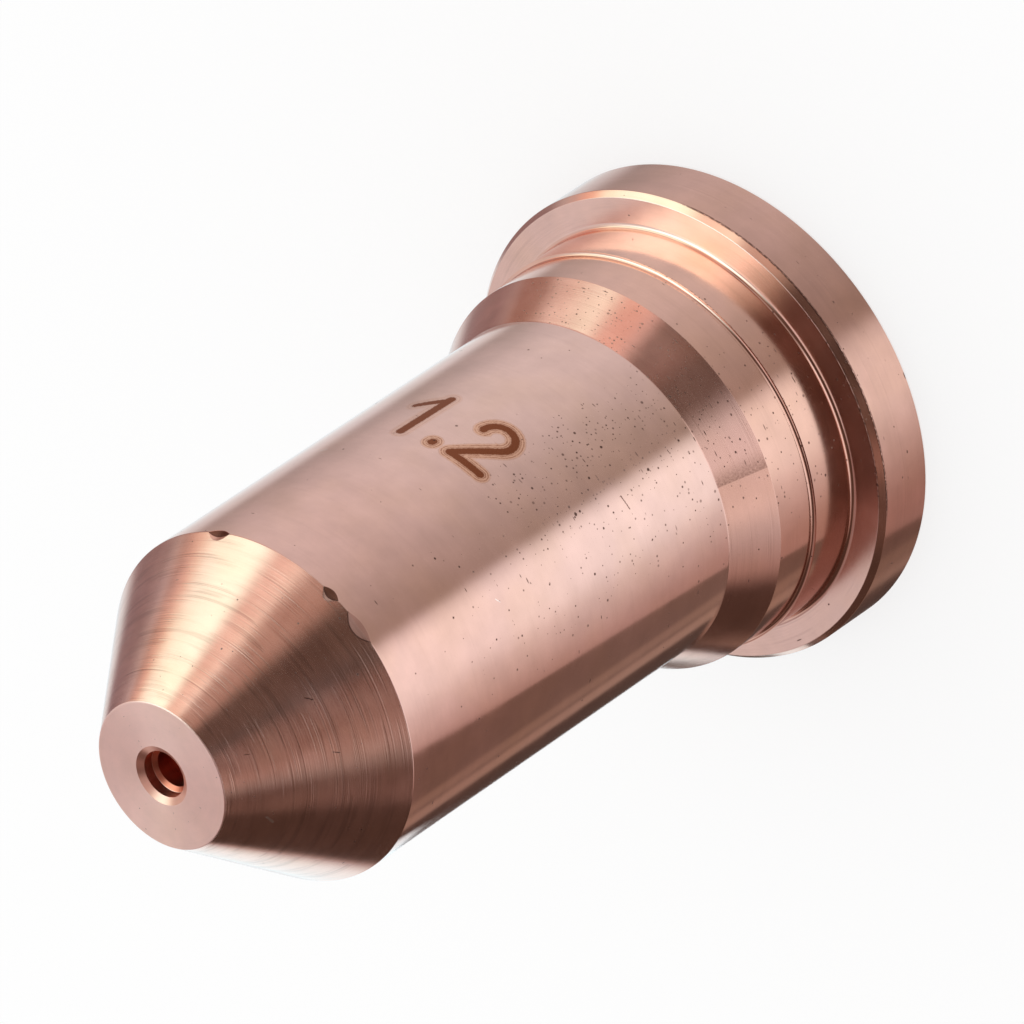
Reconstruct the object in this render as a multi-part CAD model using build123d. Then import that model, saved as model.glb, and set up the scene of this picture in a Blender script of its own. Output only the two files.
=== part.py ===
"""A plasma torch nozzle, turned from one copper bar.

Millimetres. The axis is +Z. z = 0 is the flange's rear face, and the nose points up.
"""
import math
import os

from build123d import *

# Heights above the flange's rear face
LENGTH = 26.0
BODY_TOP = 21.44
FLARE_TOP = 6.82
FLARE_FOOT = 5.41
STEP_TOP = 3.88
FLANGE_FACE = 2.15

# Outside radii, from the nose to the flange: the last three each stand out from the one before
NOSE_RADIUS = 2.33
BODY_RADIUS = 5.54
COLLAR_OUT = 0.82
SHOULDER_OUT = 0.13
FLANGE_OUT = 1.13

# Bores, from the nose to the rear
ORIFICE_DIAMETER = 1.2
ORIFICE_LENGTH = 2.52
SINK_RADIUS = 0.94
SINK_DEPTH = 0.12
RECESS_RADIUS = 0.735
RECESS_DEPTH = 0.445
RECESS_FLOOR_DROP = 0.105
CHAMBER_WALL = 1.24
CHAMBER_CONE_ANGLE = 45
SEAT_LEDGE = 1.2
SEAT_DEPTH = 2.5
MOUTH_CHAMFER = 0.3

# Edges
NOSE_ROUND = 0.05
STEP_HOLLOW = 0.12
ROOT_HOLLOW = 0.17
FLANGE_ROUND = 0.32
REAR_CHAMFER = 0.08

# Dents on the edge between the cone and the body: angle about the axis, and the dent's radius
EDGE_DENTS = ((-29, 2.3), (-73, 1.1), (-86, 7.5))
DENT_UP_CONE = 0.21
DENT_DOWN_BODY = 0.13
DENT_TOOL_LENGTH = 1.5

collar_radius = BODY_RADIUS + COLLAR_OUT
shoulder_radius = collar_radius + SHOULDER_OUT
flange_radius = shoulder_radius + FLANGE_OUT
orifice_radius = ORIFICE_DIAMETER / 2
orifice_top = LENGTH - RECESS_DEPTH - RECESS_FLOOR_DROP
orifice_foot = orifice_top - ORIFICE_LENGTH
chamber_radius = BODY_RADIUS - CHAMBER_WALL
chamber_rise = (chamber_radius - orifice_radius) / math.tan(math.radians(CHAMBER_CONE_ANGLE))
chamber_top = orifice_foot - chamber_rise
seat_radius = chamber_radius + SEAT_LEDGE
cone_slope = (BODY_RADIUS - NOSE_RADIUS) / (LENGTH - BODY_TOP)


def outline():
    """Corners of the section, from the nose down the outside and back up the bores."""
    return [
        (NOSE_RADIUS, LENGTH),
        (BODY_RADIUS, BODY_TOP),
        (BODY_RADIUS, FLARE_TOP),
        (collar_radius, FLARE_FOOT),
        (collar_radius, STEP_TOP),
        (shoulder_radius, STEP_TOP),
        (shoulder_radius, FLANGE_FACE),
        (flange_radius, FLANGE_FACE),
        (flange_radius, REAR_CHAMFER),
        (flange_radius - REAR_CHAMFER, 0),
        (seat_radius + MOUTH_CHAMFER, 0),
        (seat_radius, MOUTH_CHAMFER),
        (seat_radius, SEAT_DEPTH),
        (chamber_radius, SEAT_DEPTH),
        (chamber_radius, chamber_top),
        (orifice_radius, orifice_foot),
        (orifice_radius, orifice_top),
        (RECESS_RADIUS, LENGTH - RECESS_DEPTH),
        (RECESS_RADIUS, LENGTH - SINK_DEPTH),
        (SINK_RADIUS, LENGTH),
    ]


def rounded(face, corner, radius):
    """The face with the corner nearest to the point rounded."""
    point = Vector(*corner)
    nearest = min(face.vertices(), key=lambda vertex: (Vector(vertex) - point).length)
    return fillet(nearest, radius)


def turned_body():
    """The section, with its edges rounded, turned about the axis."""
    section = make_face(Polyline(*outline(), close=True))
    section = rounded(section, (NOSE_RADIUS, LENGTH), NOSE_ROUND)
    section = rounded(section, (collar_radius, STEP_TOP), STEP_HOLLOW)
    section = rounded(section, (shoulder_radius, FLANGE_FACE), ROOT_HOLLOW)
    section = rounded(section, (flange_radius, FLANGE_FACE), FLANGE_ROUND)
    return revolve(Plane.XZ * section, Axis.Z)


def dent_tool(angle, radius):
    """A round bar laid across the edge between the cone and the body."""
    up_cone = Vector(BODY_RADIUS - DENT_UP_CONE * cone_slope, BODY_TOP + DENT_UP_CONE)
    down_body = Vector(BODY_RADIUS, BODY_TOP - DENT_DOWN_BODY)
    along = (down_body - up_cone).normalized()
    outward = Vector(-along.Y, along.X)
    centre = (up_cone + down_body) / 2 + outward * radius
    lean = math.degrees(math.atan2(along.X, along.Y))
    bar = Cylinder(radius, DENT_TOOL_LENGTH)
    return Rot(0, 0, angle) * Pos(centre.X, 0, centre.Y) * Rot(0, lean, 0) * bar


nozzle = turned_body()
for dent_angle, dent_radius in EDGE_DENTS:
    nozzle -= dent_tool(dent_angle, dent_radius)

os.makedirs("parts", exist_ok=True)
export_step(nozzle, "parts/nozzle.step")
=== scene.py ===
"""Looks of a plasma torch nozzle: one piece of turned copper, standing on its flange.

Lengths are in millimetres and angles in degrees where a value is named, and z is the height above
the flange's rear face. The turn is the angle round the axis: 0 is +X and 90 is -Y, which is the
side nearest the camera.
"""
import math
from collections import namedtuple

import bpy
from mathutils import Matrix, Vector


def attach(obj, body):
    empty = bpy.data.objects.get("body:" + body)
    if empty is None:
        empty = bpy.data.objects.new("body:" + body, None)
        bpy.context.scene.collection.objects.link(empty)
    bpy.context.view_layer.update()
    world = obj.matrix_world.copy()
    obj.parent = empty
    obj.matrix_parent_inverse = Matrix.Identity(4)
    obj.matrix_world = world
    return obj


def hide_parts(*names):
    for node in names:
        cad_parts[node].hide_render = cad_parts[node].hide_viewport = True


MM = 0.001

# Camera: the point it looks at, its distance, its height above the horizon and its roll
AIM = (0.676, 0.0, 9.431)
DISTANCE = 384.264
ELEVATION = 41.246
ROLL = -123.869
LENS = 461.67
SENSOR = 36.0

# Floor
FLOOR_SIZE = 12000.0
FLOOR_COLOUR = (0.98, 0.98, 0.98)
# Share of plain white that the camera sees in it over the lit colour, so that the shadow stays faint
FLOOR_WHITE = 0.7

# Section of the nozzle, as in the part's source: heights above the flange's rear face
LENGTH = 26.0
BODY_TOP = 21.44
FLARE_TOP = 6.82
FLARE_FOOT = 5.41
STEP_TOP = 3.88
FLANGE_FACE = 2.15

# Its outside radii
NOSE_RADIUS = 2.33
BODY_RADIUS = 5.54
COLLAR_RADIUS = 6.36
SHOULDER_RADIUS = 6.49
FLANGE_RADIUS = 7.62

# Its bores
ORIFICE_RADIUS = 0.6
ORIFICE_TOP = 25.45
ORIFICE_FOOT = 22.93
SINK_RADIUS = 0.94
SINK_DEPTH = 0.12
RECESS_RADIUS = 0.735
RECESS_DEPTH = 0.445
CHAMBER_RADIUS = 4.3
CHAMBER_TOP = 19.23
SEAT_RADIUS = 5.5
SEAT_DEPTH = 2.5
MOUTH_CHAMFER = 0.3

# Its edges
NOSE_ROUND = 0.05
STEP_HOLLOW = 0.12
FLARE_HOLLOW = 0.12
ROOT_HOLLOW = 0.17
FLANGE_BEVEL_IN = 0.16
FLANGE_BEVEL_DOWN = 0.2
REAR_CHAMFER = 0.08

# How much the edge between cone and body is broken all round, and the other sharp edges are rounded
EDGE_BREAK = 0.012
EDGE_SOFT = 0.03

# Dents in the edge between cone and body: the middle and half the width in degrees, the colour of the
# painted shade in the dent, and the share of the dent that it covers
Dent = namedtuple("Dent", "middle half shade stain")
DENTS = (
    Dent(29.0, 4.1, (0.20, 0.10, 0.07), 0.4),
    Dent(73.0, 3.1, (0.20, 0.09, 0.06), 0.5),
    Dent(86.0, 5.7, (0.62, 0.36, 0.30), 1.0),
)
# How far a dent reaches up the cone and down the body, over how much its painted shade fades, and the
# width and colour of its outline, which is painted shade too
DENT_UP_CONE = 0.21
DENT_DOWN_BODY = 0.13
DENT_FADE = (-0.005, 0.01)
DENT_OUTLINE = 0.03
DENT_DARK = (0.16, 0.07, 0.05)

# Fineness of the turned mesh: steps round the axis, degrees in a step of a rounded edge, and how
# near two points of the section are one
TURNS = 512
ARC_STEP = 12.0
SAME_PLACE = 1e-6

# Copper, how far its shine is drawn out, and which way, in turns
COPPER = (0.88, 0.565, 0.49)
DRAWN_OUT = 0.5
DRAWN_TURN = 0.25


class Graph:
    """Adds nodes to one tree. Each call gives back the new node's output."""

    def __init__(self, tree):
        self.tree = tree
        self.tree.nodes.clear()

    def node(self, kind, **settings):
        made = self.tree.nodes.new("ShaderNode" + kind)
        for name, value in settings.items():
            setattr(made, name, value)
        return made

    def put(self, socket, value):
        if isinstance(value, bpy.types.NodeSocket):
            self.tree.links.new(value, socket)
        else:
            socket.default_value = value

    def math(self, operation, *values, clamp=False):
        made = self.node("Math", operation=operation, use_clamp=clamp)
        for socket, value in zip(made.inputs, values):
            self.put(socket, value)
        return made.outputs[0]

    def step(self, value, start, end):
        """Rises smoothly from 0 at start to 1 at end."""
        made = self.node("MapRange", interpolation_type="SMOOTHSTEP")
        self.put(made.inputs["Value"], value)
        self.put(made.inputs["From Min"], start)
        self.put(made.inputs["From Max"], end)
        return made.outputs["Result"]

    def between(self, value, low, high, soft_low, soft_high):
        """Is 1 between low and high, with soft ends centred on them."""
        rise = self.step(value, low - soft_low / 2, low + soft_low / 2)
        fall = self.step(value, high - soft_high / 2, high + soft_high / 2)
        return self.math("MULTIPLY", rise, self.math("SUBTRACT", 1.0, fall))

    def mix(self, share, first, second):
        made = self.node("Mix", data_type="RGBA")
        self.put(made.inputs[0], share)
        self.put(made.inputs[6], first)
        self.put(made.inputs[7], second)
        return made.outputs[2]

    def blend(self, share, first, second):
        made = self.node("Mix", data_type="FLOAT")
        self.put(made.inputs[0], share)
        self.put(made.inputs[2], first)
        self.put(made.inputs[3], second)
        return made.outputs[0]

    def shaders(self, share, first, second):
        made = self.node("MixShader")
        self.put(made.inputs[0], share)
        self.put(made.inputs[1], first.outputs[0])
        self.put(made.inputs[2], second.outputs[0])
        return made

    def vector(self, operation, first, second=None):
        made = self.node("VectorMath", operation=operation)
        self.put(made.inputs[0], first)
        if operation == "SCALE":
            self.put(made.inputs["Scale"], second)
        elif second is not None:
            self.put(made.inputs[1], second)
        return made.outputs["Value" if operation in ("LENGTH", "DOT_PRODUCT") else "Vector"]

    def join(self, x, y, z):
        made = self.node("CombineXYZ")
        for socket, value in zip(made.inputs, (x, y, z)):
            self.put(socket, value)
        return made.outputs[0]

    def split(self, vector):
        made = self.node("SeparateXYZ")
        self.put(made.inputs[0], vector)
        return made.outputs

    def noise(self, place, scale, detail=2.0, dimensions="3D"):
        """Noise from 0 to 1; scale is the number of grains in a unit of place."""
        made = self.node("TexNoise", noise_dimensions=dimensions)
        self.put(made.inputs["W" if dimensions == "1D" else "Vector"], place)
        made.inputs["Scale"].default_value = scale
        made.inputs["Detail"].default_value = detail
        return made.outputs[0]


def colour(red, green, blue):
    return (red, green, blue, 1.0)


WHITE = colour(1.0, 1.0, 1.0)


def make_camera():
    """The camera at the photograph's viewing angle."""
    lens = bpy.data.cameras.new("camera")
    lens.lens = LENS
    lens.sensor_width = SENSOR
    lens.clip_start = 0.01
    lens.clip_end = 100.0
    camera = bpy.data.objects.new("camera", lens)
    bpy.context.scene.collection.objects.link(camera)
    tilt = Matrix.Rotation(math.radians(90.0 - ELEVATION), 4, "X")
    turned = tilt @ Matrix.Rotation(math.radians(ROLL), 4, "Z")
    back = turned.to_3x3() @ Vector((0.0, 0.0, 1.0))
    place = (Vector(AIM) + back * DISTANCE) * MM
    camera.matrix_world = Matrix.Translation(place) @ turned
    bpy.context.scene.camera = camera


def make_floor():
    """A plain pale floor, which the metal doesn't reflect."""
    half = FLOOR_SIZE * MM / 2
    corners = [(-half, -half, 0.0), (half, -half, 0.0), (half, half, 0.0), (-half, half, 0.0)]
    mesh = bpy.data.meshes.new("floor")
    mesh.from_pydata(corners, [], [(0, 1, 2, 3)])
    floor = bpy.data.objects.new("floor", mesh)
    bpy.context.scene.collection.objects.link(floor)
    material = bpy.data.materials.new("floor")
    material.use_nodes = True
    graph = Graph(material.node_tree)
    lit = graph.node("BsdfDiffuse")
    graph.put(lit.inputs["Color"], colour(*FLOOR_COLOUR))
    white = graph.node("Emission")
    seen = graph.math("MULTIPLY", graph.node("LightPath").outputs["Is Camera Ray"], FLOOR_WHITE)
    shader = graph.shaders(seen, lit, white)
    graph.put(graph.node("OutputMaterial").inputs["Surface"], shader.outputs[0])
    mesh.materials.append(material)
    floor.visible_glossy = False


# Studio, as the metal reflects it: panels on a plain wall, the later ones in front. Azimuth runs
# from +Y towards +X. The four soft values are the widths over which a side fades
Panel = namedtuple("Panel", "left right low high soft shade")
WALL = (0.75, 0.78, 0.80)
PANELS = (
    # table behind the nozzle, seen from the camera
    Panel(-12.0, 24.0, -90.0, -14.0, (14.0, 16.0, 1.0, 20.0), (0.87, 0.94, 0.96)),
    # dark gap beside it, in two heights
    Panel(38.0, 60.0, -90.0, -28.0, (14.0, 60.0, 1.0, 8.0), (0.40, 0.37, 0.36)),
    Panel(20.0, 56.0, -28.0, -2.0, (14.0, 14.0, 8.0, 14.0), (0.30, 0.22, 0.23)),
    Panel(56.0, 80.0, -28.0, 0.0, (10.0, 20.0, 8.0, 4.0), (0.32, 0.19, 0.16)),
    # edge of the table, on the far right
    Panel(340.0, 357.0, -90.0, -14.0, (4.0, 4.0, 1.0, 10.0), (0.78, 0.68, 0.66)),
    # dim front
    Panel(130.0, 200.0, 8.0, 90.0, (12.0, 10.0, 12.0, 1.0), (0.12, 0.08, 0.065)),
    Panel(150.0, 187.0, -90.0, 8.0, (90.0, 10.0, 1.0, 12.0), (0.38, 0.34, 0.31)),
    # warm edges of the large soft box, the dim light below it, and the box, which is wider above
    Panel(52.0, 76.0, 2.0, 14.0, (22.0, 8.0, 5.0, 12.0), (1.05, 0.58, 0.42)),
    Panel(78.0, 112.0, -24.0, 5.0, (20.0, 20.0, 10.0, 4.0), (0.82, 0.64, 0.58)),
    Panel(65.0, 112.0, 5.5, 14.0, (12.0, 20.0, 3.0, 6.0), (1.35, 1.62, 1.42)),
    Panel(62.0, 112.0, 12.0, 30.0, (14.0, 22.0, 6.0, 8.0), (1.5, 1.95, 1.72)),
    Panel(109.0, 130.0, -4.0, 29.0, (14.0, 16.0, 10.0, 8.0), (0.90, 0.62, 0.54)),
    Panel(56.0, 134.0, 35.0, 66.0, (44.0, 54.0, 8.0, 12.0), (2.0, 2.95, 3.0)),
    Panel(96.0, 132.0, 24.8, 36.0, (16.0, 14.0, 5.0, 6.0), (1.35, 1.35, 1.15)),
    Panel(129.0, 155.0, 20.0, 28.0, (8.0, 12.0, 6.0, 4.0), (0.44, 0.22, 0.17)),
    Panel(130.0, 152.0, 29.0, 35.0, (12.0, 22.0, 4.0, 4.0), (0.78, 0.58, 0.48)),
    # brown wall on the right, with the front soft box, its dim top and the dark corner
    Panel(230.0, 322.0, -90.0, 90.0, (20.0, 6.0, 1.0, 1.0), (0.44, 0.31, 0.28)),
    Panel(310.0, 348.0, -90.0, -28.0, (4.0, 14.0, 1.0, 8.0), (0.20, 0.14, 0.12)),
    Panel(193.0, 240.0, -90.0, 20.5, (14.0, 76.0, 1.0, 3.0), (1.12, 1.22, 1.26)),
    Panel(184.0, 246.0, -20.0, 20.0, (22.0, 40.0, 12.0, 3.0), (1.10, 1.14, 1.20)),
    Panel(213.0, 250.0, 9.0, 19.0, (18.0, 20.0, 6.0, 2.0), (0.86, 0.80, 0.75)),
    Panel(186.0, 292.0, 21.0, 90.0, (10.0, 34.0, 3.0, 1.0), (0.085, 0.055, 0.045)),
    Panel(280.0, 352.0, 30.0, 68.0, (20.0, 6.0, 10.0, 10.0), (0.34, 0.25, 0.24)),
    Panel(196.0, 252.0, 20.0, 28.5, (14.0, 36.0, 3.0, 3.0), (0.33, 0.185, 0.145)),
    Panel(246.0, 300.0, 9.5, 26.0, (24.0, 6.0, 4.0, 4.0), (0.12, 0.07, 0.055)),
    Panel(273.0, 319.0, -32.0, 40.0, (14.0, 5.0, 6.0, 10.0), (0.08, 0.05, 0.04)),
    # pale gap behind the card
    Panel(326.0, 352.0, -45.0, -12.0, (12.0, 6.0, 6.0, 6.0), (1.05, 1.3, 1.38)),
    # ceiling
    Panel(0.0, 360.0, 70.0, 90.0, (0.01, 0.01, 10.0, 0.01), (0.8, 0.78, 0.8)),
)
# Dark card beside the nozzle, low on the right, seen only by the metal. It is part of a cylinder
# about the axis, with slanting edges, and has lighter and darker streaks. Each row has its height
# and the azimuths of its ends
CARD_RADIUS = 40.0
CARD_ROWS = ((-4.0, 247.0, 316.0), (-11.0, 257.0, 318.0), (-12.0, 259.0, 342.0), (-60.0, 327.0, 342.0))
CARD_COLUMNS = 24
CARD_SHADE = (0.19, 0.135, 0.115)
CARD_STREAKS = (
    (289.0, 297.0, 2.0, (0.29, 0.21, 0.17)),
    (300.0, 310.0, 3.0, (0.36, 0.26, 0.21)),
    (311.0, 338.0, 3.0, (0.09, 0.06, 0.05)),
)


def make_card():
    """The dark card, as strips of faces between its rows."""
    corners = []
    for height, left, right in CARD_ROWS:
        for column in range(CARD_COLUMNS + 1):
            azimuth = math.radians(left + (right - left) * column / CARD_COLUMNS)
            side = Vector((math.sin(azimuth), math.cos(azimuth), 0.0)) * CARD_RADIUS
            corners.append((side + Vector((0.0, 0.0, height))) * MM)
    faces = []
    for row in range(len(CARD_ROWS) - 1):
        for column in range(CARD_COLUMNS):
            above = row * (CARD_COLUMNS + 1) + column
            below = above + CARD_COLUMNS + 1
            faces.append((above, below, below + 1, above + 1))
    mesh = bpy.data.meshes.new("dark_card")
    mesh.from_pydata(corners, [], faces)
    card = bpy.data.objects.new("dark_card", mesh)
    bpy.context.scene.collection.objects.link(card)
    material = bpy.data.materials.new("dark_card")
    material.use_nodes = True
    graph = Graph(material.node_tree)
    x, y, _ = graph.split(graph.node("TexCoord").outputs["Object"])
    azimuth = graph.math("DEGREES", graph.math("ARCTAN2", x, y))
    azimuth = graph.math("WRAP", azimuth, 360.0, 0.0)
    seen = colour(*CARD_SHADE)
    for left, right, soft, shade in CARD_STREAKS:
        streak = graph.between(azimuth, left, right, soft, soft)
        seen = graph.mix(streak, seen, colour(*shade))
    shader = graph.node("Emission")
    graph.put(shader.inputs["Color"], seen)
    graph.put(graph.node("OutputMaterial").inputs["Surface"], shader.outputs[0])
    mesh.materials.append(material)
    card.visible_camera = False
    card.visible_diffuse = False
    card.visible_shadow = False


def make_studio():
    """The world: the studio's panels for the metal's reflections, plain white for all else."""
    world = bpy.data.worlds.new("studio")
    world.use_nodes = True
    world.cycles.sampling_method = "NONE"
    bpy.context.scene.world = world
    graph = Graph(world.node_tree)
    x, y, z = graph.split(graph.node("TexCoord").outputs["Generated"])
    azimuth = graph.math("DEGREES", graph.math("ARCTAN2", x, y))
    elevation = graph.math("DEGREES", graph.math("ARCSINE", z))
    seen = colour(*WALL)
    for panel in PANELS:
        # the azimuth is taken in the turn whose ends lie behind the panel
        middle = (panel.left + panel.right) / 2
        here = graph.math("WRAP", azimuth, middle + 180.0, middle - 180.0)
        wide = graph.between(here, panel.left, panel.right, *panel.soft[:2])
        tall = graph.between(elevation, panel.low, panel.high, *panel.soft[2:])
        seen = graph.mix(graph.math("MULTIPLY", wide, tall), seen, colour(*panel.shade))
    plain = graph.node("Background")
    plain.inputs["Color"].default_value = WHITE
    studio = graph.node("Background")
    graph.put(studio.inputs["Color"], seen)
    light = graph.shaders(graph.node("LightPath").outputs["Is Glossy Ray"], plain, studio)
    graph.put(graph.node("OutputWorld").inputs["Surface"], light.outputs[0])


# Size number marked on the body by a laser: strokes in millimetres, round the body from turn 0 and
# up the axis, with half the stroke's width. Its top points to the flange
NUMBER_STROKES = (
    (0.13, (3.62, 14.20), (3.68, 11.96)),
    (0.10, (2.92, 12.66), (3.62, 12.10)),
    (0.12, (4.74, 14.16), (4.74, 14.10)),
    (0.12, (5.40, 14.15), (6.56, 14.15)),
    (0.115, (6.35, 12.91), (5.40, 14.12)),
    (0.10, (5.38, 12.56), (5.41, 12.62)),
)
# The bowl of the 2: half its stroke's width, its centre and radius, and the chord that cuts it off
NUMBER_BOWL = (0.115, (5.93, 12.58), 0.53)
BOWL_CHORD = ((5.40, 12.58), (6.35, 12.91))
# The number's colour and roughness, over how much its edge fades, and how far away the chord puts
# what it cuts off
NUMBER_COLOUR = (0.26, 0.075, 0.032)
NUMBER_ROUGH = 0.42
NUMBER_FADE = (-0.025, 0.03)
CUT_OFF = 10.0
# Rings that the heat left round the strokes: the gap between them, their reach, their colours, how
# their wave rises, and the noise that breaks them
RING_GAP = 0.078
RING_REACH = (0.13, 0.23)
RING_PALE = (0.80, 0.42, 0.27)
RING_DARK = (0.40, 0.15, 0.075)
RING_WAVE = (0.3, -0.8)
RING_GRAINS = 5.0
RING_BREAKS = (0.25, 0.6)
# The 1 has weaker rings than the 2: where they strengthen round the body, and their shares
RINGS_RISE = (3.9, 4.6)
RINGS_LEAST = 0.35
RINGS_MOST = 0.85
# Ragged edges: grains in a millimetre, and how far they move the edge of the number, a spot and a
# scratch
RAGGED_GRAINS = 16.0
RAGGED_NUMBER = (0.07, -0.02)
RAGGED_SPOT = 0.04
RAGGED_SCRATCH = 0.06

# Finish of each zone: the heights it spans, its roughness, the strength of its turning lines and
# how much of the copper's red, green and blue it keeps
Finish = namedtuple("Finish", "low high rough lines keep")
POLISHED = Finish(0.0, LENGTH, 0.13, 0.12, (1.0, 1.0, 1.0))
FINISHES = (
    Finish(BODY_TOP, LENGTH, 0.19, 0.75, (1.0, 0.99, 0.97)),
    Finish(LENGTH - 0.03, LENGTH + 1.0, 0.40, 0.10, (1.08, 1.08, 1.10)),
    Finish(FLARE_FOOT, FLARE_TOP, 0.20, 0.25, (0.98, 0.92, 0.89)),
    Finish(FLANGE_FACE + 0.01, FLARE_FOOT, 0.13, 0.15, (0.95, 0.86, 0.80)),
    # the rim keeps less of the copper: painted shade for the dimmer light low down, with a redder tone
    # of its own
    Finish(-1.0, FLANGE_FACE - FLANGE_BEVEL_DOWN, 0.17, 0.3, (0.79, 0.70, 0.66)),
    Finish(FLANGE_FACE - FLANGE_BEVEL_DOWN, FLANGE_FACE - 0.01, 0.14, 0.3, (1.0, 0.97, 0.92)),
    Finish(FLANGE_FACE - 0.01, FLANGE_FACE + 0.01, 0.22, 0.3, (1.02, 1.02, 1.02)),
)
ZONE_EDGE = 0.01
# Finish of the bores, how far it reaches over the rear face and into the walls, and how far below the
# nose face it starts. What the bores keep of the copper is painted shade, darker and redder
BORED = Finish(0.0, LENGTH, 0.32, 0.6, (0.94, 0.74, 0.66))
BORED_REAR = 5.84
BORE_ROOM = 0.1
SAME_FACE = 0.001
# What the orifice keeps, painted darker and redder as shade, and what the end of the body next to the
# cone keeps, with the heights between which that sets in
ORIFICE_SHADE = (0.80, 0.36, 0.26)
WARMED = (0.97, 0.90, 0.88)
WARMED_RISE = (11.0, 20.0)

# Painted sheen, the metal's colour made whiter where it is seen at a low angle: the facings between
# which it rises, how much of it there is, and its colour
LIMB_RISE = (0.86, 1.0)
LIMB_SHARE = 0.7
LIMB_SHEEN_COLOUR = (0.92, 0.93, 0.96)

# Worn stretches of sharp edges: the edge's height and radius, the turns between which it is worn, how
# far the wear reaches, and the share of it that is dark
Worn = namedtuple("Worn", "height radius start end reach dark")
WORN = (
    Worn(FLANGE_FACE - FLANGE_BEVEL_DOWN, FLANGE_RADIUS, 46.0, 136.0, 0.055, 0.36),
    Worn(FLANGE_FACE, FLANGE_RADIUS - FLANGE_BEVEL_IN, 84.0, 134.0, 0.06, 0.50),
    Worn(STEP_TOP, SHOULDER_RADIUS, 40.0, 104.0, 0.045, 0.55),
    Worn(FLARE_FOOT, COLLAR_RADIUS, 60.0, 96.0, 0.05, 0.62),
)
# The wear's colour and its share, the degrees over which a stretch's ends fade, and how much of its
# reach is full
WORN_COLOUR = (0.13, 0.055, 0.04)
WORN_SHARE = 0.85
WORN_FADE = 6.0
WORN_CORE = 0.4
# Specks of the wear: grains in a degree, how much finer they are across the edge, and over how much
# of the noise they darken
SPECK_GRAINS = 1.3
SPECK_FINER = 30.0
SPECK_RISE = 0.12

# Turning lines: grains in a millimetre of the coarse and the fine ones, and of the noise by which
# they fade on their way round. Among them are deeper scores, kept only on stretches
COARSE_GRAINS = 7.0
FINE_GRAINS = 17.0
DRIFT_GRAINS = 2.2
LINE_CONTRAST = (0.3, 0.7)
SCORE_GRAINS = 3.2
SCORE_WIDTH = 0.03
SCORE_KEPT = (0.45, 0.6)
# Depths of the turning lines and of the scores, in metres
TRACK_DEPTH = 1.1e-6
SCORE_DEPTH = 1.2e-6
# How much of the light they take away, and what is left without them
TRACK_DULL = (-0.20, 0.99)
SCORE_DULL = -0.16
# Clouds and grain in the copper: grains in a millimetre, how much of the light or of the roughness
# they add, and what is left without them
CLOUD_GRAINS = 0.9
CLOUD_DULL = (0.30, 0.85)
CLOUD_ROUGH = (0.10, -0.05)
GRAIN_SIZE = (1.6, 4.5, 0.0)
GRAIN_DULL = (0.06, 0.97)
# Faint tan tarnish in clouds: what it keeps of the light, how strong it is, and its noise
TARNISH = (0.97, 0.96, 0.90)
TARNISH_SHARE = 0.8
TARNISH_SHIFT = (40.0, 0.0, 0.0)
TARNISH_GRAINS = 0.45
TARNISH_RISE = (0.35, 0.75)

# Pits and short nicks, each in a cell of its own: the cell's size round the body and along it, the
# smallest and largest radius in shares of the cell, and the share of cells that keep theirs where
# they are dense and elsewhere
Pits = namedtuple("Pits", "round along small large dense sparse")
PITS = (
    Pits(0.17, 0.17, 0.08, 0.30, 0.36, 0.006),
    Pits(0.34, 0.34, 0.07, 0.19, 0.34, 0.010),
    Pits(0.62, 0.16, 0.06, 0.20, 0.20, 0.010),
)
# Where they are dense, on the plan of the body: each place's left and right, its foot and top, the
# widths over which the sides and the ends fade, and its share
PITTED = (
    (6.7, 9.7, 5.4, 14.3, 1.2, 2.4, 1.0),
    (8.2, 12.2, 2.2, 17.5, 2.4, 6.0, 0.42),
    (2.0, 5.9, 5.4, 6.8, 0.6, 0.1, 0.9),
)
# The pits' colour, its share and their roughness; how much rarer large pits are than small ones, how
# much of a pit is even, and how dark the palest one is
PIT_COLOUR = (0.09, 0.04, 0.03)
PIT_SHARE = 0.9
PIT_ROUGH = 0.5
PIT_GROWTH = 1.6
PIT_FLAT = 0.4
PIT_LEAST = 0.5
# Larger pits, each with its place on the body and its radius
SPOTS = (
    (7.90, 10.00, 0.050),
    (9.10, 12.30, 0.060),
    (9.10, 12.10, 0.045),
    (10.90, 12.60, 0.045),
    (9.90, 11.60, 0.040),
    (8.45, 11.10, 0.045),
    (9.20, 9.00, 0.055),
    (9.00, 7.40, 0.045),
    (7.90, 17.65, 0.040),
    (9.60, 18.30, 0.040),
)
# Scratches on the plan of the whole outside, where the height less the radius stands for the
# height: half their width and their ends
DARK_SCRATCHES = (
    (0.030, (9.40, 4.90), (9.85, 4.82)),
    (0.028, (9.28, 19.28), (9.48, 19.04)),
    (0.025, (10.30, 22.45), (10.42, 22.20)),
    (0.025, (11.64, 19.06), (11.74, 18.78)),
)
PALE_SCRATCHES = (
    (0.070, (14.40, 21.85), (14.75, 21.55)),
    (0.022, (1.92, 10.30), (2.10, 10.22)),
    (0.022, (9.84, 11.02), (9.98, 10.90)),
)
SCRATCH_PALE = (0.95, 0.80, 0.74)
# Over how much the edges of spots and scratches fade, and a distance beyond all others
SPOT_FADE = (0.03, 0.0)
SCRATCH_FADE = (0.03, 0.01)
FAR = 1.0
# Dark stained band across the flare: the turns between which it darkens, and those over which it then
# ends
STAIN_RISE = (105.5, 112.2)
STAIN_END = (111.9, 112.3)


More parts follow.
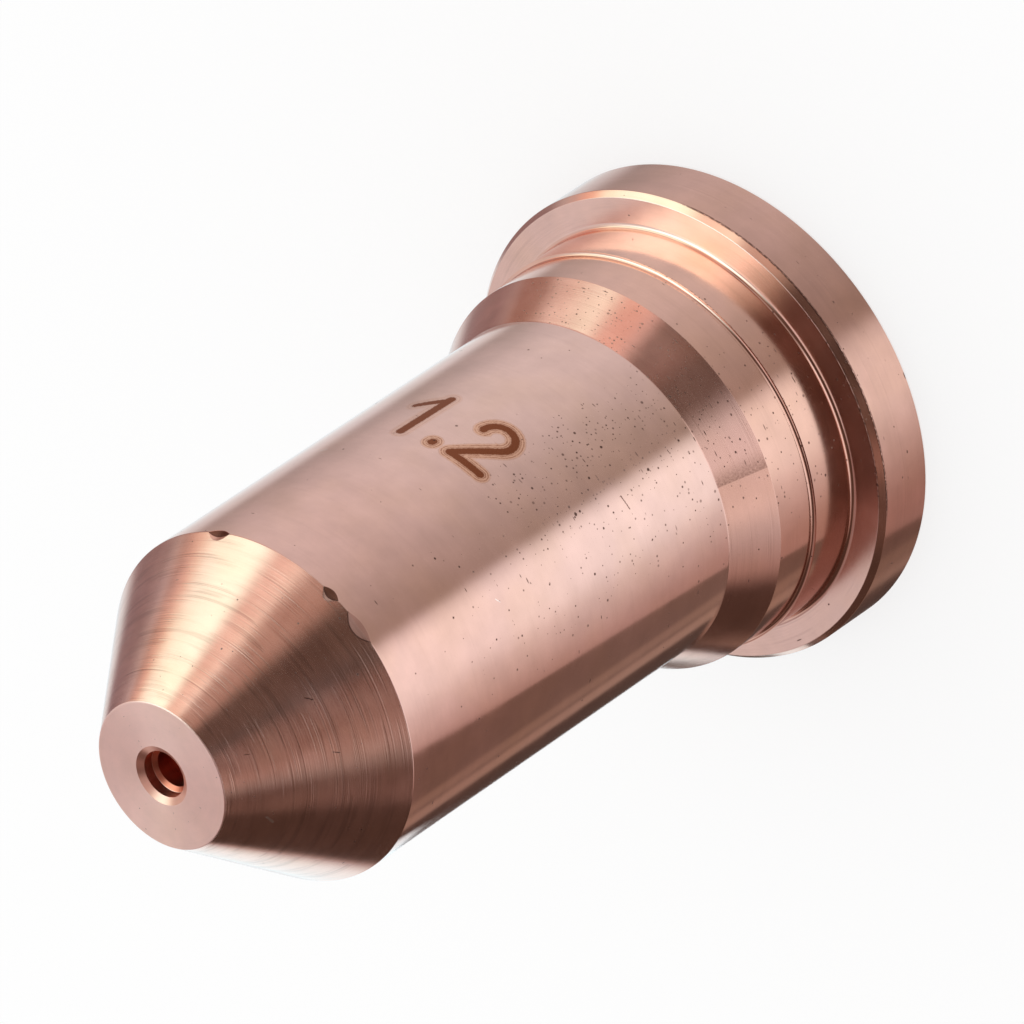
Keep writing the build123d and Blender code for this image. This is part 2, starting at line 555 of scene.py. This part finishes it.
def add_distance_group():
    """Node group: how far a point is from the line between two others."""
    tree = bpy.data.node_groups.new("distance_to_line", "ShaderNodeTree")
    for name in ("Point", "Start", "End"):
        tree.interface.new_socket(name, in_out="INPUT", socket_type="NodeSocketVector")
    tree.interface.new_socket("Distance", in_out="OUTPUT", socket_type="NodeSocketFloat")
    graph = Graph(tree)
    made = tree.nodes.new("NodeGroupInput")
    point, start, end = made.outputs[:3]
    run = graph.vector("SUBTRACT", end, start)
    reach = graph.vector("SUBTRACT", point, start)
    along = graph.vector("DOT_PRODUCT", reach, run)
    whole = graph.vector("DOT_PRODUCT", run, run)
    share = graph.math("DIVIDE", along, whole, clamp=True)
    gap = graph.vector("SUBTRACT", reach, graph.vector("SCALE", run, share))
    result = tree.nodes.new("NodeGroupOutput")
    graph.put(result.inputs[0], graph.vector("LENGTH", gap))


def nearest_line(graph, point, lines, nearest):
    """Distance from the edge of the nearest of some lines, or what was nearest before."""
    group = bpy.data.node_groups["distance_to_line"]
    for half, first, second in lines:
        line = graph.node("Group", node_tree=group)
        graph.put(line.inputs[0], point)
        line.inputs[1].default_value = (*first, 0.0)
        line.inputs[2].default_value = (*second, 0.0)
        nearest = graph.math("MINIMUM", nearest, graph.math("SUBTRACT", line.outputs[0], half))
    return nearest


def number_edge(graph, flat, ragged):
    """Distance from the edge of the number's strokes, negative inside them."""
    half, centre, radius = NUMBER_BOWL
    arm = graph.vector("SUBTRACT", flat, (*centre, 0.0))
    off = graph.math("ABSOLUTE", graph.math("SUBTRACT", graph.vector("LENGTH", arm), radius))
    left, right = BOWL_CHORD
    across = (left[1] - right[1], right[0] - left[0], 0.0)
    above = graph.vector("DOT_PRODUCT", graph.vector("SUBTRACT", flat, (*left, 0.0)), across)
    cut = graph.math("MULTIPLY", graph.math("GREATER_THAN", above, 0.0), CUT_OFF)
    nearest = graph.math("ADD", graph.math("SUBTRACT", off, half), cut)
    nearest = nearest_line(graph, flat, NUMBER_STROKES, nearest)
    return graph.math("SUBTRACT", nearest, graph.math("MULTIPLY_ADD", ragged, *RAGGED_NUMBER))


def marked(graph, flat, ragged, shade):
    """The shade with the number and its rings over it, and how much of the number is there."""
    edge = number_edge(graph, flat, ragged)
    round_body, _, _ = graph.split(flat)
    wave = graph.math("COSINE", graph.math("MULTIPLY", edge, math.tau / RING_GAP))
    broken = graph.step(graph.noise(flat, RING_GRAINS), *RING_BREAKS)
    ring = graph.math("MULTIPLY", graph.step(wave, *RING_WAVE), broken)
    rings = graph.mix(ring, colour(*RING_PALE), colour(*RING_DARK))
    near = graph.math("SUBTRACT", 1.0, graph.step(edge, *RING_REACH))
    side = graph.blend(graph.step(round_body, *RINGS_RISE), RINGS_LEAST, RINGS_MOST)
    shade = graph.mix(graph.math("MULTIPLY", near, side), shade, rings)
    core = graph.math("SUBTRACT", 1.0, graph.step(edge, *NUMBER_FADE))
    return graph.mix(core, shade, colour(*NUMBER_COLOUR)), core


def pits(graph, plan, dense):
    """Share of a pit at each point of the plan: up to 1 in a pit's middle, 0 outside."""
    share = 0.0
    for kind in PITS:
        cells = graph.node("TexVoronoi", voronoi_dimensions="2D")
        size = (1.0 / kind.round, 1.0 / kind.along, 0.0)
        graph.put(cells.inputs["Vector"], graph.vector("MULTIPLY", plan, size))
        cells.inputs["Scale"].default_value = 1.0
        red, green, blue = graph.split(cells.outputs["Color"])
        grown = graph.math("POWER", red, PIT_GROWTH)
        radius = graph.math("MULTIPLY_ADD", grown, kind.large - kind.small, kind.small)
        inner = graph.math("MULTIPLY", radius, PIT_FLAT)
        hole = graph.math("SUBTRACT", 1.0, graph.step(cells.outputs["Distance"], inner, radius))
        kept = graph.math("LESS_THAN", green, graph.blend(dense, kind.sparse, kind.dense))
        depth = graph.math("MULTIPLY_ADD", blue, 1.0 - PIT_LEAST, PIT_LEAST)
        hole = graph.math("MULTIPLY", graph.math("MULTIPLY", hole, kept), depth)
        share = graph.math("MAXIMUM", share, hole)
    return share


def spots(graph, flat, ragged):
    """Share of a larger pit at each point of the body's plan."""
    nearest = FAR
    for across, up, radius in SPOTS:
        off = graph.vector("LENGTH", graph.vector("SUBTRACT", flat, (across, up, 0.0)))
        nearest = graph.math("MINIMUM", nearest, graph.math("SUBTRACT", off, radius))
    return graph.step(graph.math("MULTIPLY_ADD", ragged, RAGGED_SPOT, nearest), *SPOT_FADE)


def scratched(graph, plan, ragged, scratches):
    """Share of a scratch at each point of the plan."""
    nearest = nearest_line(graph, plan, scratches, FAR)
    return graph.step(graph.math("MULTIPLY_ADD", ragged, RAGGED_SCRATCH, nearest), *SCRATCH_FADE)


def stained(graph, degrees, z, ragged):
    """Share of the dark stained band across the flare."""
    rise = graph.step(degrees, *STAIN_RISE)
    left = graph.math("SUBTRACT", 1.0, graph.step(degrees, *STAIN_END))
    there = graph.math("MULTIPLY", graph.math("MULTIPLY", rise, left), ragged)
    on_flare = graph.between(z, FLARE_FOOT, FLARE_TOP, ZONE_EDGE, ZONE_EDGE)
    return graph.math("MULTIPLY", there, on_flare)


def worn(graph, degrees, radius, z):
    """Share of dark wear at each point, in specks along the worn edges."""
    share = 0.0
    fine_up = graph.math("MULTIPLY", z, SPECK_FINER)
    fine_out = graph.math("MULTIPLY", radius, SPECK_FINER)
    specks = graph.noise(graph.join(degrees, fine_up, fine_out), SPECK_GRAINS, 1.0)
    for edge in WORN:
        rise = graph.math("ABSOLUTE", graph.math("SUBTRACT", z, edge.height))
        out = graph.math("ABSOLUTE", graph.math("SUBTRACT", radius, edge.radius))
        off = graph.math("ADD", rise, out)
        near = graph.math("SUBTRACT", 1.0, graph.step(off, edge.reach * WORN_CORE, edge.reach))
        along = graph.between(degrees, edge.start, edge.end, WORN_FADE, WORN_FADE)
        dark = graph.step(specks, edge.dark, edge.dark + SPECK_RISE)
        here = graph.math("MULTIPLY", graph.math("MULTIPLY", near, along), dark)
        share = graph.math("MAXIMUM", share, here)
    return share


def dented(graph, degrees, z, shade):
    """The shade with the dents' painted shade and their dark outlines, also painted shade, over it."""
    for dent in DENTS:
        off = graph.math("DIVIDE", graph.math("SUBTRACT", degrees, dent.middle), dent.half)
        share = graph.math("SUBTRACT", 1.0, graph.math("MULTIPLY", off, off))
        share = graph.math("MAXIMUM", share, 0.0)
        top = graph.math("MULTIPLY_ADD", share, DENT_UP_CONE * dent.stain, BODY_TOP)
        foot = graph.math("MULTIPLY_ADD", share, -DENT_DOWN_BODY, BODY_TOP)
        room = graph.math("MINIMUM", graph.math("SUBTRACT", top, z), graph.math("SUBTRACT", z, foot))
        # painted shade in the dent's hollow
        shade = graph.mix(graph.step(room, *DENT_FADE), shade, colour(*dent.shade))
        # a dark outline of painted shade along the dent's top
        outline = graph.math("ABSOLUTE", graph.math("SUBTRACT", top, z))
        outline = graph.math("SUBTRACT", 1.0, graph.step(outline, 0.0, DENT_OUTLINE))
        near = graph.math("GREATER_THAN", share, 0.0)
        shade = graph.mix(graph.math("MULTIPLY", outline, near), shade, colour(*DENT_DARK))
    return shade


def finish(graph, z, radius):
    """Roughness, strength of the turning lines and what is kept of the copper, by zone, with painted
    shade on the rim and in the bores.
    """
    rough = POLISHED.rough
    lines = POLISHED.lines
    keep = colour(*POLISHED.keep)
    for zone in FINISHES:
        here = graph.between(z, zone.low, zone.high, ZONE_EDGE, ZONE_EDGE)
        rough = graph.blend(here, rough, zone.rough)
        lines = graph.blend(here, lines, zone.lines)
        keep = graph.mix(here, keep, colour(*zone.keep))
    # painted shade: the bores and the orifice are darker and redder
    bore, orifice_shade = bored(graph, z, radius)
    rough = graph.blend(bore, rough, BORED.rough)
    lines = graph.blend(bore, lines, BORED.lines)
    keep = graph.mix(bore, keep, colour(*BORED.keep))
    return rough, lines, graph.mix(orifice_shade, keep, colour(*ORIFICE_SHADE))


def bored(graph, z, radius):
    """Is 1 in the bores, and in the orifice, which is painted darker and redder as shade."""
    wide = graph.math("LESS_THAN", radius, BORED_REAR)
    seat = graph.math("MULTIPLY", wide, graph.math("LESS_THAN", z, SEAT_DEPTH + BORE_ROOM))
    middle = graph.math("LESS_THAN", radius, CHAMBER_RADIUS + BORE_ROOM)
    chamber = graph.math("MULTIPLY", middle, graph.math("LESS_THAN", z, ORIFICE_FOOT))
    narrow = graph.math("LESS_THAN", radius, SINK_RADIUS + ZONE_EDGE)
    orifice = graph.math("MULTIPLY", narrow, graph.math("LESS_THAN", z, LENGTH - SAME_FACE))
    bore = graph.math("MAXIMUM", seat, graph.math("MAXIMUM", chamber, orifice))
    orifice_shade = graph.math("MULTIPLY", orifice, graph.math("LESS_THAN", radius, RECESS_RADIUS - ZONE_EDGE))
    return bore, orifice_shade


def turned(graph, turn, profile, lines):
    """Shares of the turning lines and of the deeper scores, which run round the axis."""
    coarse = graph.step(graph.noise(profile, COARSE_GRAINS, 2.0, "1D"), *LINE_CONTRAST)
    fine = graph.step(graph.noise(profile, FINE_GRAINS, 1.0, "1D"), *LINE_CONTRAST)
    drift = graph.noise(graph.join(turn, profile, 0.0), DRIFT_GRAINS, 1.0)
    fade = graph.step(drift, *LINE_CONTRAST)
    tracks = graph.math("ADD", graph.math("MULTIPLY", coarse, 0.5), graph.math("MULTIPLY", fine, 0.5))
    tracks = graph.math("MULTIPLY", tracks, graph.math("MULTIPLY", lines, fade))
    wave = graph.noise(profile, SCORE_GRAINS, 1.0, "1D")
    off = graph.math("ABSOLUTE", graph.math("SUBTRACT", wave, 0.5))
    score = graph.math("SUBTRACT", 1.0, graph.step(off, 0.0, SCORE_WIDTH))
    score = graph.math("MULTIPLY", score, graph.step(drift, *SCORE_KEPT))
    return tracks, graph.math("MULTIPLY", score, lines)


def density(graph, round_body, z):
    """How dense the pits are at each point, from 0 to 1."""
    dense = 0.0
    for left, right, foot, top, soft_side, soft_end, share in PITTED:
        wide = graph.between(round_body, left, right, soft_side, soft_side)
        tall = graph.between(z, foot, top, soft_end, soft_end)
        here = graph.math("MULTIPLY", graph.math("MULTIPLY", wide, tall), share)
        dense = graph.math("MAXIMUM", dense, here)
    return dense


def dulled(graph, value, share, least):
    """What is left of the light: the least, and a share of the value over it."""
    return graph.math("MULTIPLY_ADD", value, share, least)


def copper_shade(graph, place, z, keep, tracks, score, cloud, grain):
    """The copper's colour as kept by zone, painted shade included, with its lines, clouds, grain and
    tarnish.
    """
    dull = dulled(graph, tracks, *TRACK_DULL)
    dull = dulled(graph, score, SCORE_DULL, dull)
    dull = graph.math("MULTIPLY", dull, dulled(graph, cloud, *CLOUD_DULL))
    dull = graph.math("MULTIPLY", dull, dulled(graph, grain, *GRAIN_DULL))
    shade = graph.vector("SCALE", graph.vector("MULTIPLY", keep, COPPER), dull)
    shifted = graph.vector("ADD", place, TARNISH_SHIFT)
    tarnish = graph.step(graph.noise(shifted, TARNISH_GRAINS, 2.0), *TARNISH_RISE)
    tarnish = graph.math("MULTIPLY", tarnish, TARNISH_SHARE)
    return graph.vector("MULTIPLY", shade, graph.mix(tarnish, WHITE, colour(*TARNISH)))


def limbed(graph, z, shade):
    """The shade with a painted sheen, whiter where it is seen at a low angle, and warmer at the body's
    hot end.
    """
    facing = graph.node("LayerWeight")
    facing.inputs["Blend"].default_value = 0.5
    # painted sheen: whiter towards the outline
    limb_sheen = graph.math("MULTIPLY", graph.step(facing.outputs["Facing"], *LIMB_RISE), LIMB_SHARE)
    shade = graph.mix(limb_sheen, shade, colour(*LIMB_SHEEN_COLOUR))
    on_body = graph.between(z, FLARE_TOP, BODY_TOP, ZONE_EDGE, ZONE_EDGE)
    warm = graph.math("MULTIPLY", graph.step(z, *WARMED_RISE), on_body)
    return graph.vector("MULTIPLY", shade, graph.mix(warm, WHITE, colour(*WARMED)))


def make_copper():
    """The nozzle's one material."""
    material = bpy.data.materials.new("turned_copper")
    material.use_nodes = True
    graph = Graph(material.node_tree)
    add_distance_group()

    # place: round the body and up it, and round it and along the section
    place = graph.vector("SCALE", graph.node("TexCoord").outputs["Object"], 1.0 / MM)
    x, y, z = graph.split(place)
    radius = graph.vector("LENGTH", graph.join(x, y, 0.0))
    turn = graph.math("ARCTAN2", graph.math("MULTIPLY", y, -1.0), x)
    degrees = graph.math("DEGREES", turn)
    round_body = graph.math("MULTIPLY", turn, BODY_RADIUS)
    flat = graph.join(round_body, z, 0.0)
    profile = graph.math("SUBTRACT", z, radius)
    plan = graph.join(round_body, profile, 0.0)

    # what varies over the surface
    rough, lines, keep = finish(graph, z, radius)
    tracks, score = turned(graph, turn, profile, lines)
    pit = pits(graph, plan, density(graph, round_body, z))
    wear = worn(graph, degrees, radius, z)
    cloud = graph.noise(place, CLOUD_GRAINS, 3.0)
    grain = graph.noise(graph.vector("MULTIPLY", plan, GRAIN_SIZE), 1.0, 2.0)
    ragged = graph.noise(flat, RAGGED_GRAINS)

    # colour, with the dents' painted shade, a painted sheen, the number, scratches, wear and pits over
    # it
    shade = copper_shade(graph, place, z, keep, tracks, score, cloud, grain)
    shade = limbed(graph, z, dented(graph, degrees, z, shade))
    shade, core = marked(graph, flat, ragged, shade)
    dark = scratched(graph, plan, ragged, DARK_SCRATCHES)
    dark = graph.math("MAXIMUM", dark, stained(graph, degrees, z, ragged))
    dark = graph.math("MULTIPLY", graph.math("MAXIMUM", wear, dark), WORN_SHARE)
    shade = graph.mix(dark, shade, colour(*WORN_COLOUR))
    pale = scratched(graph, plan, ragged, PALE_SCRATCHES)
    shade = graph.mix(pale, shade, colour(*SCRATCH_PALE))
    holes = graph.math("MAXIMUM", pit, spots(graph, flat, ragged))
    holes = graph.math("MULTIPLY", holes, PIT_SHARE)
    shade = graph.mix(holes, shade, colour(*PIT_COLOUR))

    # roughness
    rough = graph.blend(core, rough, NUMBER_ROUGH)
    rough = graph.blend(holes, rough, PIT_ROUGH)
    smudge = graph.math("MULTIPLY_ADD", cloud, *CLOUD_ROUGH)
    rough = graph.math("ADD", rough, smudge, clamp=True)

    # relief, in metres
    height = graph.math("MULTIPLY", tracks, TRACK_DEPTH)
    height = graph.math("MULTIPLY_ADD", score, -SCORE_DEPTH, height)
    relief = graph.node("Bump")
    graph.put(relief.inputs["Height"], height)
    relief.inputs["Distance"].default_value = 1.0

    tangent = graph.node("Tangent", direction_type="RADIAL", axis="Z")
    shader = graph.node("BsdfPrincipled")
    graph.put(shader.inputs["Base Color"], shade)
    graph.put(shader.inputs["Metallic"], 1.0)
    graph.put(shader.inputs["Roughness"], rough)
    graph.put(shader.inputs["Anisotropic"], DRAWN_OUT)
    graph.put(shader.inputs["Anisotropic Rotation"], DRAWN_TURN)
    graph.put(shader.inputs["Tangent"], tangent.outputs[0])
    graph.put(shader.inputs["Normal"], relief.outputs[0])
    graph.put(graph.node("OutputMaterial").inputs["Surface"], shader.outputs[0])
    return material


def bend(before, corner, after, radius):
    """Points round a corner of the section, each with the ways it is reached and left."""
    arriving = (corner - before).normalized()
    leaving = (after - corner).normalized()
    if radius == 0.0:
        return [(corner, arriving, leaving)]
    turn = arriving.angle_signed(leaving)
    steps = max(2, math.ceil(abs(math.degrees(turn)) / ARC_STEP))
    across = Vector((-arriving.y, arriving.x)) * math.copysign(radius, -turn)
    start = corner - arriving * radius * math.tan(abs(turn) / 2)
    points = []
    for step in range(steps + 1):
        swing = Matrix.Rotation(-turn * step / steps, 2)
        points.append((start + across - swing @ across, swing @ arriving, swing @ arriving))
    return points


def dent_share(turn):
    """How much of a dent's full size the edge has at this turn, from 0 to 1."""
    return max(0.0, *(1.0 - ((turn - dent.middle) / dent.half) ** 2 for dent in DENTS))


def section(turn):
    """The section at one turn, from the nose's edge down the outside and up the bores."""
    share = dent_share(turn)
    up_cone = EDGE_BREAK + share * DENT_UP_CONE
    down_body = EDGE_BREAK + share * DENT_DOWN_BODY
    cone_slope = (BODY_RADIUS - NOSE_RADIUS) / (LENGTH - BODY_TOP)
    corners = (
        (NOSE_RADIUS, LENGTH, NOSE_ROUND),
        (BODY_RADIUS - up_cone * cone_slope, BODY_TOP + up_cone, 0.0),
        (BODY_RADIUS, BODY_TOP - down_body, 0.0),
        (BODY_RADIUS, FLARE_TOP, FLARE_HOLLOW),
        (COLLAR_RADIUS, FLARE_FOOT, EDGE_SOFT),
        (COLLAR_RADIUS, STEP_TOP, STEP_HOLLOW),
        (SHOULDER_RADIUS, STEP_TOP, 0.0),
        (SHOULDER_RADIUS, FLANGE_FACE, ROOT_HOLLOW),
        (FLANGE_RADIUS - FLANGE_BEVEL_IN, FLANGE_FACE, EDGE_SOFT),
        (FLANGE_RADIUS, FLANGE_FACE - FLANGE_BEVEL_DOWN, EDGE_SOFT),
        (FLANGE_RADIUS, REAR_CHAMFER, 0.0),
        (FLANGE_RADIUS - REAR_CHAMFER, 0.0, 0.0),
        (SEAT_RADIUS + MOUTH_CHAMFER, 0.0, 0.0),
        (SEAT_RADIUS, MOUTH_CHAMFER, 0.0),
        (SEAT_RADIUS, SEAT_DEPTH, 0.0),
        (CHAMBER_RADIUS, SEAT_DEPTH, 0.0),
        (CHAMBER_RADIUS, CHAMBER_TOP, 0.0),
        (ORIFICE_RADIUS, ORIFICE_FOOT, 0.0),
        (ORIFICE_RADIUS, ORIFICE_TOP, 0.0),
        (RECESS_RADIUS, LENGTH - RECESS_DEPTH, 0.0),
        (RECESS_RADIUS, LENGTH - SINK_DEPTH, 0.0),
        (SINK_RADIUS, LENGTH, 0.0),
    )
    places = [Vector(corner[:2]) for corner in corners]
    points = []
    for index, place in enumerate(places):
        after = places[(index + 1) % len(places)]
        for point in bend(places[index - 1], place, after, corners[index][2]):
            if points and (points[-1][0] - point[0]).length < SAME_PLACE:
                points[-1] = (*points[-1][:2], point[2])
            else:
                points.append(point)
    return points


def make_nozzle():
    """The nozzle turned from its section, fine enough for polished metal to reflect cleanly."""
    around = [math.tau * index / TURNS for index in range(TURNS)]
    sections = [section(math.degrees(math.tau - angle)) for angle in around]
    rings = len(sections[0])
    out = [Vector((math.cos(angle), math.sin(angle), 0.0)) for angle in around]
    up = Vector((0.0, 0.0, 1.0))
    places = [
        [side * point[0].x + up * point[0].y for point in points]
        for side, points in zip(out, sections)
    ]

    def normal(turn, ring, way):
        """Square to the section's way there, and to the ring itself."""
        direction = sections[turn][ring][way]
        square = out[turn] * -direction.y + up * direction.x
        along = places[(turn + 1) % TURNS][ring] - places[turn - 1][ring]
        return (square - along * square.dot(along) / along.length_squared).normalized()

    faces = []
    normals = []
    for turn in range(TURNS):
        after = (turn + 1) % TURNS
        for ring in range(rings):
            below = (ring + 1) % rings
            corners = ((turn, ring, 2), (turn, below, 1), (after, below, 1), (after, ring, 2))
            faces.append([at * rings + which for at, which, _ in corners])
            normals += [normal(*corner) for corner in corners]
    mesh = bpy.data.meshes.new("turned_nozzle")
    mesh.from_pydata([place * MM for side in places for place in side], [], faces)
    mesh.shade_smooth()
    mesh.normals_split_custom_set(normals)
    nozzle = bpy.data.objects.new("turned_nozzle", mesh)
    bpy.context.scene.collection.objects.link(nozzle)
    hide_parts("nozzle")
    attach(nozzle, "root")
    return nozzle


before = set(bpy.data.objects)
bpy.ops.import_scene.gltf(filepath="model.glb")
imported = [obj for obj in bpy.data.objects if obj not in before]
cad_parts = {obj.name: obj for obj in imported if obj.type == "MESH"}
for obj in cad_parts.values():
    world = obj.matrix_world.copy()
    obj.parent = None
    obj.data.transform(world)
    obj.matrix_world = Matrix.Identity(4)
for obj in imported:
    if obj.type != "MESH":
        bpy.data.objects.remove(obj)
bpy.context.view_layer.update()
scene = bpy.context.scene
scene.view_settings.view_transform = "Standard"
make_camera()
make_floor()
make_studio()
make_card()
make_nozzle().data.materials.append(make_copper())
